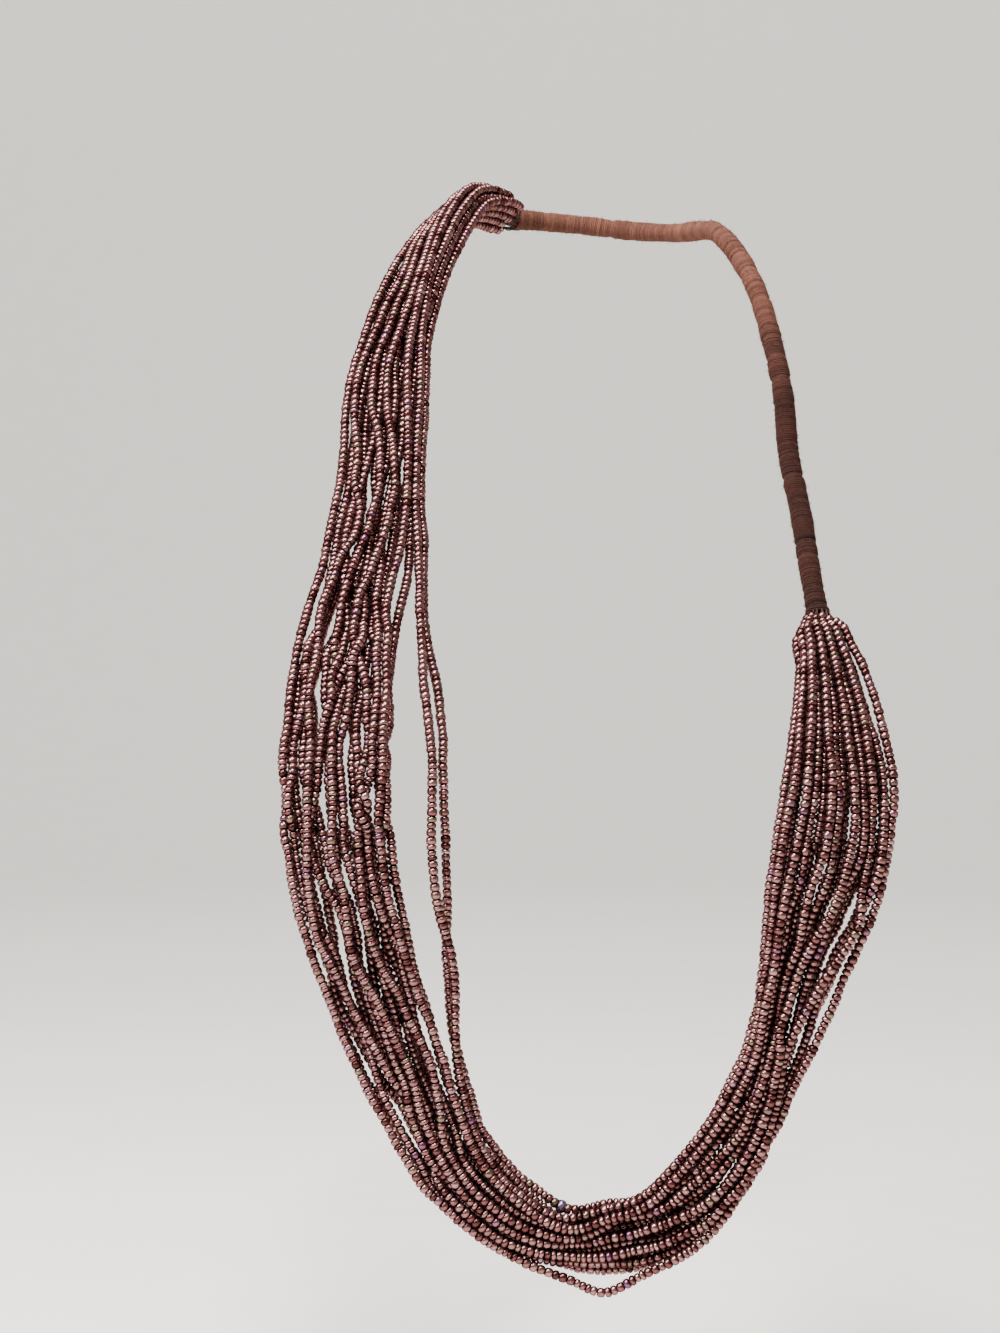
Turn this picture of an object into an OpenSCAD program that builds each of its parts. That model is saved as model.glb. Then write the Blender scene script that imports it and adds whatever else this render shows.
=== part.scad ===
// A long multi strand necklace in its worn form. Twenty strands of seed beads hang in one
// loose bundle. Both ends of the bundle are gathered, and a thick thread-wound cord runs from one
// gathering round the back of the neck to the other, so that the necklace is one closed loop.
// Millimetres, +Z up. The origin is on the axis of the neck, level with the cord at the nape.
// -Y is to the front, and +X is the side on which the cord comes down over the collarbone.

/* [Beads] */
// Diameter of one strand, which is that of its seed beads
bead_d = 3.3; // [2.6:0.1:3.8]
// Air between two strands where they lie closest
strand_gap = 0.1; // [0.1:0.05:0.5]
// Number of strands, half of them in front of the others
strand_count = 20; // [16:2:24]

/* [Bundle] */
// Most that a strand drifts away from the next one
strand_wander = 0.4; // [0:0.1:1.2]
// Widest gap where neighbouring strands part
loose_gap = 2.4; // [0:0.2:4]
// Farthest that the two stray strands swing away from the others
stray_gap = 18; // [4:1:22]
// Radius of the bow that the bundle makes across its width
bow_r = 90; // [60:5:200]

/* [Cord] */
// Diameter of the wound cord
cord_d = 8; // [6:0.5:9]
// Growth in diameter where the winding ends
cord_flare = 1.2; // [0:0.2:2]
// Length over which the cord grows at each end
flare_l = 9; // [4:1:20]

/* [Gathers] */
// Gap between a gathering and what it joins
gather_seat = 0.2; // [0.1:0.05:0.3]

/* [Hidden] */
// Places where the middle of the bundle passes, from the back of the neck down over the chest,
// through the lowest point and up to the end of the cord: x, y, z
BUNDLE_ROUTE = [
    [-33, 45, 4],
    [-49, 19, 3],
    [-63.5, -8, -20],
    [-73, -28, -47],
    [-78, -48, -76],
    [-80, -66, -107],
    [-82.5, -85, -138],
    [-87, -106, -166],
    [-92, -127, -195],
    [-92, -142, -227],
    [-86, -146, -263],
    [-78, -141, -299],
    [-63.5, -138, -331],
    [-44, -135, -363],
    [-15, -134, -385],
    [17, -135, -380.5],
    [41, -137, -354],
    [58, -140, -322],
    [69, -143, -288],
    [78.5, -147, -253],
    [82.5, -140, -219],
    [82, -120, -187],
    [79.5, -108, -171],
];

// Form of the bundle at each place of its route: the way that it faces as x, y and z, the spread
// of its strands as a share of one strand's lane, and how far the front and the back stray have
// swung inward as shares of stray_gap
BUNDLE_FORM = [
    [-0.50, 0.50, 0.70, 0.50, 0.00, 0.00],
    [-0.65, -0.10, 0.75, 0.50, 0.00, 0.00],
    [-0.50, -0.40, 0.77, 0.50, 0.00, 0.00],
    [-0.35, -0.70, 0.60, 0.55, 0.00, 0.00],
    [-0.30, -0.82, 0.50, 0.67, 0.00, 0.00],
    [-0.22, -0.88, 0.45, 0.73, 0.00, 0.02],
    [-0.15, -0.85, 0.50, 0.82, 0.16, 0.20],
    [-0.15, -0.82, 0.55, 0.89, 0.38, 0.42],
    [-0.20, -0.85, 0.45, 1.05, 0.50, 0.68],
    [-0.25, -0.95, 0.15, 1.02, 0.78, 0.72],
    [-0.15, -1.00, 0.00, 0.91, 0.68, 0.80],
    [-0.10, -1.00, -0.05, 0.75, 0.56, 0.52],
    [-0.05, -1.00, -0.05, 0.67, 0.14, 0.24],
    [0.00, -1.00, 0.00, 0.50, 0.00, 0.00],
    [0.00, -1.00, 0.00, 0.50, 0.00, 0.00],
    [0.00, -1.00, 0.00, 0.50, 0.00, 0.00],
    [0.00, -1.00, 0.00, 0.50, 0.00, 0.00],
    [0.05, -1.00, -0.05, 0.50, 0.00, 0.00],
    [0.10, -1.00, -0.05, 0.57, 0.00, 0.00],
    [0.20, -1.00, 0.00, 0.95, 0.00, 0.00],
    [0.20, -0.90, 0.35, 0.88, 0.00, 0.00],
    [0.15, -0.80, 0.60, 0.57, 0.00, 0.00],
    [0.15, -0.80, 0.60, 0.50, 0.00, 0.00],
];

// Gaps between neighbours: layer (0 front, 1 back), number of strands of that layer outside the
// gap, place on the route, reach along the route to each side, and width as a share of loose_gap
PARTINGS = [
    [0, 2, 11.4, 1.2, 1.00],
    [1, 2, 11.4, 1.2, 1.00],
    [0, 6, 8.6, 1.8, 0.70],
    [1, 6, 8.6, 1.8, 0.70],
    [0, 4, 9.8, 1.4, 0.50],
    [0, 7, 11.0, 1.3, 0.70],
    [1, 7, 11.0, 1.3, 0.70],
    [0, 8, 11.2, 1.3, 0.50],
    [1, 8, 11.2, 1.3, 0.60],
    [0, 1, 14.45, 0.6, 0.80],
    [0, 6, 14.7, 0.6, 0.90],
    [1, 6, 14.7, 0.6, 0.90],
    [0, 3, 15.5, 0.9, 0.30],
    [1, 1, 16.7, 0.85, 1.50],
    [0, 2, 17.8, 1.3, 0.90],
    [1, 2, 17.8, 1.3, 0.90],
    [0, 8, 18.2, 1.2, 0.80],
    [1, 8, 18.2, 1.2, 0.80],
    [0, 3, 4.6, 1.4, 0.60],
    [0, 5, 19.6, 1.3, 0.60],
    [1, 3, 19.6, 1.3, 0.60],
    [0, 2, 20.2, 1.2, 0.50],
];

// Places where the middle of the cord passes, from the back gathering round the nape and down to
// the front gathering: x, y, z
CORD_ROUTE = [
    [-29.5, 50.5, 4],
    [-16, 57, 4],
    [0, 60, 3],
    [20, 56, 0],
    [38, 44, -3],
    [49, 26, -5],
    [53, 10, -9],
    [59, -7, -20],
    [65, -27, -38],
    [69, -45, -60],
    [72, -56, -82],
    [73, -65, -105],
    [76, -78, -128],
    [77.5, -91, -148],
    [79, -104, -166],
];

strand_sides = 8;
strand_rings = 46;
cord_sides = 12;
cord_rings = 34;
gather_rings = 5;
// How square the outline of a gathering is where the strands start: 2 is an ellipse
gather_squareness = 3;
// Stretch at each end of the bundle, in places of the route, over which the wander sets in
wander_start = 2;
// Lengths of the two slow waves of the wander, in places of the route
wave_long = 5.3;
wave_short = 2.9;
// Step in phase from one strand to the next
wave_phase = 137.5;

lane = bead_d + strand_gap;
layer_count = strand_count / 2;
// Strand of each layer that the others are laid out from, and the middle of the main bundle
anchor = floor(layer_count / 2);
middle = (strand_count - 3) / 4;
bundle_end = len(BUNDLE_ROUTE) - 1;
cord_end = len(CORD_ROUTE) - 1;

function strand_name(i) = str("strand_", i < 9 ? "0" : "", i + 1);

// Vector helpers
function unit(v) = v / norm(v);
function total(v, from = 0) = from < len(v) ? v[from] + total(v, from + 1) : 0;

// A table's row at any place between its rows, on a smooth curve through them
function row_at(table, place) =
    let (
        i = min(floor(place), len(table) - 2),
        f = place - i,
        a = table[max(i - 1, 0)],
        b = table[i],
        c = table[i + 1],
        d = table[min(i + 2, len(table) - 1)]
    )
    b + (c - a) * f / 2 + (2 * a - 5 * b + 4 * c - d) * f ^ 2 / 2 + (3 * b - 3 * c + d - a) * f ^ 3 / 2;

// Direction of a route at a place
function heading(route, place) =
    let (step = 0.05, last = len(route) - 1)
    unit(row_at(route, min(place + step, last)) - row_at(route, max(place - step, 0)));

// The part of a direction that is square to an axis
function square_to(axis, v) = unit(v - axis * (axis * v));

// The bundle's own frame at a place: its axis, the way it faces, and the way across it outward
function bundle_axis(place) = heading(BUNDLE_ROUTE, place);
function bundle_face(place) =
    let (form = row_at(BUNDLE_FORM, place))
    square_to(bundle_axis(place), [form[0], form[1], form[2]]);
function bundle_side(place) = cross(bundle_axis(place), bundle_face(place));

// Distance between neighbours of one layer where nothing parts them, never under half a lane
function pitch_at(place) = lane * max(0.5, row_at(BUNDLE_FORM, place)[3]);

// A rounded hump of height 1 around a place
function hump(place, centre, reach) =
    abs(place - centre) < reach ? (1 + cos(180 * (place - centre) / reach)) / 2 : 0;

// What wander, partings and strays add between a strand of a layer and the next one inward.
// It is never negative, so that the strands can part but can't run into each other.
function wander_at(layer, k, place) =
    let (
        fade = min(1, place / wander_start, (bundle_end - place) / wander_start),
        phase = wave_phase * (2 * k + layer),
        wave = sin(360 * place / wave_long + phase) + sin(360 * place / wave_short + 2 * phase)
    )
    strand_wander * fade * (2 + wave) / 4;
function parting_at(layer, k, place) =
    loose_gap * total([
        for (p = PARTINGS) if (p[0] == layer && p[1] == k + 1) p[4] * hump(place, p[2], p[3])
    ]);
function stray_at(layer, k, place) =
    k == layer_count - 2 ? stray_gap * max(0, row_at(BUNDLE_FORM, place)[4 + layer]) : 0;
function spacing(layer, k, place) =
    pitch_at(place) + wander_at(layer, k, place) + parting_at(layer, k, place) + stray_at(layer, k, place);

// Distance of a strand from the middle of the bundle, outward
function across(layer, k, place) =
    (middle - anchor - layer / 2) * pitch_at(place)
    + (k < anchor
        ? total([for (n = [k:anchor - 1]) spacing(layer, n, place)])
        : -total([for (n = [anchor:1:k - 1]) spacing(layer, n, place)]));

// Height of a strand over the middle of the bundle. A layer splits into two levels where its
// strands lie closer than a lane, by just enough to keep a lane between neighbours.
function level_at(i, place) =
    let (
        share = min(1, pitch_at(place) / lane),
        flat = 1 - sqrt(1 - share ^ 2),
        turn = i % 4
    )
    lane * (turn == 0 ? 1.5 - flat : turn == 1 ? -0.5 : turn == 2 ? 0.5 : flat - 1.5);

// Middle of a strand, on the bow of the bundle. The bow is measured under the lowest level, so
// that it only spreads the strands.
function strand_middle(i, place) =
    let (
        layer = i % 2,
        k = floor(i / 2),
        base = bow_r + 2 * lane,
        angle = across(layer, k, place) / bow_r * 180 / PI,
        radius = base + level_at(i, place)
    )
    row_at(BUNDLE_ROUTE, place)
    + bundle_side(place) * radius * sin(angle)
    + bundle_face(place) * (radius * cos(angle) - base);

// An outline across a route: its half sizes, with 2 for an ellipse and more for a squarer one
function bend(v, squareness) = sign(v) * abs(v) ^ (2 / squareness);
function outline(centre, side, face, half_w, half_h, sides, squareness = 2) = [
    for (n = [0:sides - 1])
        let (turn = 360 * (n + 0.5) / sides)
        centre
        + side * half_w * bend(cos(turn), squareness)
        + face * half_h * bend(sin(turn), squareness)
];

// A closed solid through outlines that have the same number of points
module sweep(outlines) {
    sides = len(outlines[0]);
    last = len(outlines) - 1;
    polyhedron(
        points = [for (ring = outlines) each ring],
        faces = concat(
            [[for (n = [0:sides - 1]) n]],
            [
                for (r = [0:last - 1], n = [0:sides - 1])
                    let (a = r * sides + n, b = r * sides + (n + 1) % sides)
                    each [[a, a + sides, b], [b, a + sides, b + sides]]
            ],
            [[for (n = [sides - 1:-1:0]) last * sides + n]]
        )
    );
}

// One strand of the bundle
module strand(i) {
    color("#7a4a42")
        sweep([
            for (ring = [0:strand_rings - 1])
                let (place = bundle_end * ring / (strand_rings - 1))
                outline(
                    strand_middle(i, place), bundle_side(place), bundle_face(place),
                    bead_d / 2, bead_d / 2, strand_sides
                )
        ]);
}

// The wound cord, a little thicker where its winding ends
function cord_side(place) =
    let (p = row_at(CORD_ROUTE, place))
    square_to(heading(CORD_ROUTE, place), [p[0], p[1], 0]);
function cord_r_at(place) =
    let (
        start_l = norm(row_at(CORD_ROUTE, place) - CORD_ROUTE[0]),
        end_l = norm(row_at(CORD_ROUTE, place) - CORD_ROUTE[cord_end])
    )
    cord_d / 2 + cord_flare / 2 * hump(min(start_l, end_l, flare_l), 0, flare_l);
module neck_cord() {
    color("#5e3a30")
        sweep([
            for (ring = [0:cord_rings - 1])
                let (
                    place = cord_end * ring / (cord_rings - 1),
                    side = cord_side(place)
                )
                outline(
                    row_at(CORD_ROUTE, place), side, cross(side, heading(CORD_ROUTE, place)),
                    cord_r_at(place), cord_r_at(place), cord_sides
                )
        ]);
}

// A gathering of the strands' threads, from the end of the cord to the ends of the strands.
// Which is 0 at the back gathering and 1 at the front one.
module gather(which) {
    strand_place = which * bundle_end;
    cord_place = which * cord_end;
    // From the strands towards the cord
    axis = bundle_axis(strand_place) * (which == 1 ? 1 : -1);
    cord_axis = heading(CORD_ROUTE, cord_place) * (which == 1 ? -1 : 1);
    side = bundle_side(strand_place);
    face = bundle_face(strand_place);
    // The strays make the bundle lie half a pitch inward of its middle
    foot = BUNDLE_ROUTE[strand_place] - side * pitch_at(strand_place) / 2 + axis * gather_seat;
    head = CORD_ROUTE[cord_place] - cord_axis * gather_seat;
    half_w = (strand_count - 1) * pitch_at(strand_place) / 4 + bead_d / 2;
    half_h = 1.5 * lane + bead_d / 2;
    color("#4a2c26")
        sweep([
            for (ring = [0:gather_rings - 1])
                let (
                    f = ring / (gather_rings - 1),
                    ease = f ^ 2 * (3 - 2 * f),
                    ring_face = square_to(axis * (1 - f) + cord_axis * f, face),
                    ring_side = cross(ring_face, unit(axis * (1 - f) + cord_axis * f))
                )
                outline(
                    foot * (1 - f) + head * f, ring_side, ring_face,
                    half_w * (1 - ease) + cord_r_at(cord_place) * ease,
                    half_h * (1 - ease) + cord_r_at(cord_place) * ease,
                    cord_sides, gather_squareness * (1 - ease) + 2 * ease
                )
        ]);
}

module gather_front() {
    gather(1);
}

module gather_back() {
    gather(0);
}

for (i = [0:strand_count - 1]) {
    strand(i);
}
neck_cord();
gather_front();
gather_back();
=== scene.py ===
# %% [markdown]
# # A worn necklace of seed bead strands
# The object is a long necklace in the form that it takes when worn: twenty strands of seed beads in one
# loose bundle, gathered at both ends into a thick cord wound with yarn, which closes the loop at the back.
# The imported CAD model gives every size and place, so this script only dresses it. Each strand's tube
# becomes real beads on their thread, the smooth cord becomes wound yarn, and each gathering becomes
# its single threads.

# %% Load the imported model
import math

import bmesh
import bpy
import numpy as np
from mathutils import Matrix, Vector
from mathutils.kdtree import KDTree


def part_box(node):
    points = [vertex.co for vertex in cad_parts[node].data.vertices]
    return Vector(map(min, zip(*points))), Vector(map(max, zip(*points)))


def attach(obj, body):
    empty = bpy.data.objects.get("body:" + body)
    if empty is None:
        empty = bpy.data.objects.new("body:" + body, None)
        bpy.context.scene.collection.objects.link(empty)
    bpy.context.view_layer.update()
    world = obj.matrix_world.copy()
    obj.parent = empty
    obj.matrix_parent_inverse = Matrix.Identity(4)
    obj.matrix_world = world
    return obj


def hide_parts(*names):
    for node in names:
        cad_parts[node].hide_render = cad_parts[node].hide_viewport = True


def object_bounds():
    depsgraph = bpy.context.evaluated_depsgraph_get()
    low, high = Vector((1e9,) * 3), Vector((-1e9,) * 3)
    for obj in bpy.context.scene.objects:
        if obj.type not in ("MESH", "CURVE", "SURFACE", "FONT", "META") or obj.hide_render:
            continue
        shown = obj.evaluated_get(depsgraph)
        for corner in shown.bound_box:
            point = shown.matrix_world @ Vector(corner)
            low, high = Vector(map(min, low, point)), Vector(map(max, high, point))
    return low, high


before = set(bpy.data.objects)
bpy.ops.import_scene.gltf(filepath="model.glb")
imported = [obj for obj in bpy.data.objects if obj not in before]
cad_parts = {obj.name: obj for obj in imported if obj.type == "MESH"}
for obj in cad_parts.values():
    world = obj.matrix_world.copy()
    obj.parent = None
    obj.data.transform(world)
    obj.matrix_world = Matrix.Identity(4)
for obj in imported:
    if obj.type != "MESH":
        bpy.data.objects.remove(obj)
cad_box = [list(corner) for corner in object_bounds()]
MM = 0.001
STRANDS = sorted(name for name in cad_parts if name.startswith("strand_"))
print(f"{len(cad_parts)} CAD nodes, {len(STRANDS)} of them strands")

# %% [markdown]
# ## Small helpers
# Four things are needed again and again: a colour written as on a screen but handed over as linear
# light, a node with its settings and links in one call, a mesh as an object at the origin, and a
# finished piece that rides on the part and stands for its CAD solid.

# %% Helpers for colour, nodes and pieces
def linear(hex_colour):
    """An sRGB colour such as "8a5a50" as the linear RGBA that shaders work in."""
    channels = [int(hex_colour[i:i + 2], 16) / 255 for i in (0, 2, 4)]
    return [c / 12.92 if c <= 0.04045 else ((c + 0.055) / 1.055) ** 2.4 for c in channels] + [1.0]


def add_node(tree, kind, values=None, links=None, **settings):
    """Add one node with its settings, the values of its inputs and the links that come in."""
    node = tree.nodes.new(kind)
    for name, value in settings.items():
        setattr(node, name, value)
    for key, value in (values or {}).items():
        node.inputs[key].default_value = value
    for key, source in (links or {}).items():
        tree.links.new(source, node.inputs[key])
    return node


def add_object(name, mesh):
    """A mesh as an object at the origin of the scene."""
    obj = bpy.data.objects.new(name, mesh)
    bpy.context.scene.collection.objects.link(obj)
    return obj


def hand_over(obj, slot_name, *nodes):
    """Let a finished piece ride on the part and stand for its CAD nodes, which are hidden; slot_name is not
    used.
    """
    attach(obj, "root")
    if nodes:
        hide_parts(*nodes)


print("Helpers are ready")

# %% [markdown]
# ## The camera
# The camera stands a metre in front of the part's origin and level with the middle of the loop, where it
# sees what the photograph shows. Its lens comes from the focal length in pixels: Blender's 36 mm sensor
# lies along the picture's long side.

# %% Camera
IMAGE_HEIGHT_PX = 1333
FOCAL_PX = 2500
SENSOR_MM = 36
CAMERA_PLACE = Vector((-35, -1000, -184)) * MM
NEAREST_SEEN = 50 * MM

camera = bpy.data.objects.new("camera", bpy.data.cameras.new("camera"))
bpy.context.scene.collection.objects.link(camera)
camera.location = CAMERA_PLACE
camera.rotation_euler = (math.radians(90), 0, 0)
camera.data.sensor_width = SENSOR_MM
camera.data.lens = FOCAL_PX * SENSOR_MM / IMAGE_HEIGHT_PX
camera.data.clip_start = NEAREST_SEEN
bpy.context.scene.camera = camera
print(f"Lens of {camera.data.lens:.1f} mm")

# %% [markdown]
# ## Lines to work on
# Everything here follows a line, so a few helpers deal with lines of points: how far each point lies
# along one, what lies at a given distance, which way it runs. A smooth curve through chosen places is
# the same one that the CAD source uses.

# %% Helpers for lines
def smooth_curve(places, steps):
    """Points on a smooth curve through the given places, with so many steps between two of them."""
    ends = np.concatenate([places[:1], places, places[-1:]])
    a, b, c, d = ends[:-3, None], ends[1:-2, None], ends[2:-1, None], ends[3:, None]
    f = (np.arange(steps) / steps)[None, :, None]
    curve = b + (c - a) * f / 2 + (2 * a - 5 * b + 4 * c - d) * f**2 / 2 + (3 * b - 3 * c + d - a) * f**3 / 2
    return np.concatenate([curve.reshape(-1, 3), places[-1:]])


def bridge(start, start_way, end, end_way, steps):
    """Points after start on a smooth bend that leaves along one way and arrives along another."""
    t = (np.arange(1, steps + 1) / steps)[:, None]
    reach = np.linalg.norm(end - start)
    return (
        (2 * t**3 - 3 * t**2 + 1) * start + (t**3 - 2 * t**2 + t) * reach * start_way
        + (3 * t**2 - 2 * t**3) * end + (t**3 - t**2) * reach * end_way
    )


def run_along(line):
    """Distance of every point of a line from its start."""
    return np.concatenate([[0], np.cumsum(np.linalg.norm(np.diff(line, axis=0), axis=1))])


def points_at(line, distances):
    """Points on a line at some distances from its start."""
    run = run_along(line)
    return np.stack([np.interp(distances, run, line[:, axis]) for axis in range(3)], axis=1)


def evenly(line, step):
    """The same line with its points an equal step apart."""
    length = run_along(line)[-1]
    return points_at(line, np.linspace(0, length, round(length / step) + 1))


def unit(vectors):
    """Vectors of the same ways with a length of one."""
    return vectors / np.linalg.norm(vectors, axis=-1, keepdims=True)


rng = np.random.default_rng(8)


def slow_noise(distances, wave):
    """A random curve between -1 and 1 that changes once in every wave."""
    knots = rng.uniform(-1, 1, int(distances.max() / wave) + 4)
    place = distances / wave
    ease = place % 1
    ease = ease * ease * (3 - 2 * ease)
    first = place.astype(int)
    return knots[first] * (1 - ease) + knots[first + 1] * ease


print("Line helpers are ready")

# %% [markdown]
# ## From a tree to a plain mesh
# Geometry Nodes trees do all the winding and stringing. Each tree is run on bare lines, and what it
# makes is copied into a mesh of its own, because the finished piece has to keep its shape without the
# modifier. Inputs are set by the identifier of their socket, before the first evaluation.

# %% Make a tree and run it on lines
def new_tree(name, inputs):
    """A tree with a geometry coming in and going out, and named inputs for its sizes."""
    tree = bpy.data.node_groups.new(name, "GeometryNodeTree")
    tree.interface.new_socket("Geometry", in_out="INPUT", socket_type="NodeSocketGeometry")
    tree.interface.new_socket("Geometry", in_out="OUTPUT", socket_type="NodeSocketGeometry")
    for label, kind in inputs:
        tree.interface.new_socket(label, in_out="INPUT", socket_type="NodeSocket" + kind)
    return tree, add_node(tree, "NodeGroupInput").outputs


def calculate(tree, operation, *values):
    """One math node. A value is a number or another node's output."""
    node = add_node(tree, "ShaderNodeMath", operation=operation)
    for slot, value in enumerate(values):
        if isinstance(value, (int, float)):
            node.inputs[slot].default_value = value
        else:
            tree.links.new(value, node.inputs[slot])
    return node.outputs[0]


def line_mesh(name, lines, shades=None):
    """A mesh of bare lines, whose points can carry a shade."""
    edges, first = [], 0
    for line in lines:
        edges += [(n, n + 1) for n in range(first, first + len(line) - 1)]
        first += len(line)
    mesh = bpy.data.meshes.new(name)
    mesh.from_pydata(np.concatenate(lines).tolist(), edges, [])
    if shades is not None:
        shade = mesh.attributes.new("yarn_shade", "FLOAT", "POINT")
        shade.data.foreach_set("value", shades.astype(np.float32))
    return mesh


def grown(name, lines, tree, values, shades=None):
    """What a tree makes of some lines, as a plain mesh object of that name."""
    host = add_object(name + "_line", line_mesh(name + "_line", lines, shades))
    modifier = host.modifiers.new("tree", "NODES")
    modifier.node_group = tree
    for item in tree.interface.items_tree:
        if item.in_out == "INPUT" and item.name in values:
            modifier[item.identifier] = values[item.name]
    shown = host.evaluated_get(bpy.context.evaluated_depsgraph_get())
    mesh = bpy.data.meshes.new_from_object(shown)
    mesh.name = name
    bpy.data.objects.remove(host)
    return add_object(name, mesh)


print("Trees can be run")

# %% [markdown]
# ## Thread and yarn
# The beads hang on thin waxed thread, almost black where it shows. The cord is wound with soft spun
# yarn, a matte red-brown whose fibres catch the light at the edge, which a little sheen gives. The top
# of the cord lies in the light, and there the yarn is painted a paler brown as painted light, with a
# darker tone lower down as painted shade.

# %% Waxed thread and spun yarn
# Two tones of one yarn: a darker one, painted shade, low on the cord and a paler one, painted light, on its
# top
YARN_TONES = {
    "lower_painted_shade": [(0.2, "0d0403"), (0.85, "381a14")],
    "top_painted_light": [(0.2, "2d1712"), (0.85, "6f473b")],
}
# Heights between which the yarn goes from its darker tone below, painted shade, to its paler tone on top,
# painted light
PAINTED_LIGHT_HEIGHTS = (-95 * MM, -12 * MM)


def start_material(name):
    """A new material: its tree, its shader and the place on the object in metres."""
    material = bpy.data.materials.new(name)
    material.use_nodes = True
    tree = material.node_tree
    place = add_node(tree, "ShaderNodeTexCoord").outputs["Object"]
    return material, tree, tree.nodes["Principled BSDF"], place


def add_ramp(tree, factor, stops):
    """A colour ramp on a factor, from pairs of a position and an sRGB colour."""
    ramp = add_node(tree, "ShaderNodeValToRGB", links={"Fac": factor})
    for _ in stops[2:]:
        ramp.color_ramp.elements.new(0.5)
    for stop, (position, tone) in zip(ramp.color_ramp.elements, stops):
        stop.position, stop.color = position, linear(tone)
    return ramp.outputs["Color"]


def add_bump(tree, surface, height, depth, strength):
    """Small relief on a shader, as deep as given where the height goes from 0 to 1."""
    bump = add_node(tree, "ShaderNodeBump", {"Strength": strength, "Distance": depth}, {"Height": height})
    tree.links.new(bump.outputs["Normal"], surface.inputs["Normal"])


def waxed_thread():
    """Twisted thread, drawn through wax: dark, with a faint gloss."""
    material, tree, surface, place = start_material("waxed_thread")
    # Specks of wax and fibre, 0.3 mm across
    specks = add_node(tree, "ShaderNodeTexNoise", {"Scale": 1 / (0.3 * MM), "Detail": 3.0}, {"Vector": place})
    tone = add_ramp(tree, specks.outputs["Fac"], [(0.3, "1c0f0c"), (0.75, "3e2620")])
    tree.links.new(tone, surface.inputs["Base Color"])
    add_bump(tree, surface, specks.outputs["Fac"], 0.06 * MM, 0.4)
    surface.inputs["Roughness"].default_value = 0.6
    surface.inputs["Specular IOR Level"].default_value = 0.15
    return material


def spun_yarn():
    """Spun yarn, wound tight: every turn a little lighter or darker at random, painted shade in the grooves
    and painted light that makes the top paler.
    """
    material, tree, surface, place = start_material("spun_yarn")
    # Fibres and slubs, 0.5 mm long
    fibre = add_node(
        tree, "ShaderNodeTexNoise", {"Scale": 1 / (0.5 * MM), "Detail": 4.0, "Roughness": 0.7},
        {"Vector": place},
    )
    # Random tone of each turn, with painted shade in the grooves
    tone_and_groove_shade = add_node(tree, "ShaderNodeAttribute", attribute_name="yarn_shade").outputs["Fac"]
    shade = add_node(tree, "ShaderNodeMath", links={0: fibre.outputs["Fac"], 1: tone_and_groove_shade}, operation="ADD")
    lower_painted_shade = add_ramp(tree, shade.outputs[0], YARN_TONES["lower_painted_shade"])
    top_painted_light = add_ramp(tree, shade.outputs[0], YARN_TONES["top_painted_light"])
    # Painted light: the yarn turns paler towards the top of the cord, where the light from above falls
    height = add_node(tree, "ShaderNodeSeparateXYZ", links={"Vector": place}).outputs["Z"]
    painted_light_share = add_node(
        tree, "ShaderNodeMapRange", {"From Min": PAINTED_LIGHT_HEIGHTS[0], "From Max": PAINTED_LIGHT_HEIGHTS[1]}, {"Value": height},
        interpolation_type="SMOOTHSTEP",
    )
    tone = add_node(
        tree, "ShaderNodeMix", links={0: painted_light_share.outputs["Result"], 6: lower_painted_shade, 7: top_painted_light}, data_type="RGBA"
    )
    tree.links.new(tone.outputs[2], surface.inputs["Base Color"])
    add_bump(tree, surface, fibre.outputs["Fac"], 0.12 * MM, 0.5)
    surface.inputs["Roughness"].default_value = 0.92
    surface.inputs["Specular IOR Level"].default_value = 0.2
    surface.inputs["Sheen Weight"].default_value = 0.12
    surface.inputs["Sheen Roughness"].default_value = 0.5
    surface.inputs["Sheen Tint"].default_value = linear("b06a50")
    return material


thread_finish = waxed_thread()
yarn_finish = spun_yarn()
print("Thread and yarn are mixed")

# %% [markdown]
# ## Yarn and thread along lines
# The first tree is the simplest: it lays a round yarn along every line that it is given. The cord's
# winding, its core and the fanned threads of the gatherings all come out of it.

# %% Build the yarn tree
def yarn_tree():
    """A round tube along every line, with capped ends."""
    tree, given = new_tree("yarn", [("Width", "Float"), ("Sides", "Int"), ("Finish", "Material")])
    line = add_node(tree, "GeometryNodeMeshToCurve", links={"Mesh": given["Geometry"]})
    half = calculate(tree, "MULTIPLY", given["Width"], 0.5)
    ring = add_node(
        tree, "GeometryNodeCurvePrimitiveCircle", links={"Resolution": given["Sides"], "Radius": half}
    )
    tube = add_node(
        tree, "GeometryNodeCurveToMesh", {"Fill Caps": True},
        {"Curve": line.outputs[0], "Profile Curve": ring.outputs[0]},
    )
    real = add_node(tree, "GeometryNodeRealizeInstances", links={"Geometry": tube.outputs[0]})
    dyed = add_node(
        tree, "GeometryNodeSetMaterial", links={"Geometry": real.outputs[0], "Material": given["Finish"]}
    )
    add_node(tree, "NodeGroupOutput", links={"Geometry": dyed.outputs[0]})
    return tree


yarn = yarn_tree()
print(f"The yarn tree has {len(yarn.nodes)} nodes")

# %% [markdown]
# ## The cord
# The cord is a core of threads with one long yarn wound round it, turn against turn. The turns never
# lie quite even: some stand proud, some leave a groove, and the whole cord is a little lumpy. Where the
# winding ends it grows thicker over the knots inside. The yarn's line is therefore a long helix round
# the cord's route, with sixteen points to a turn, and its radius and step change from turn to turn.

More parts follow.
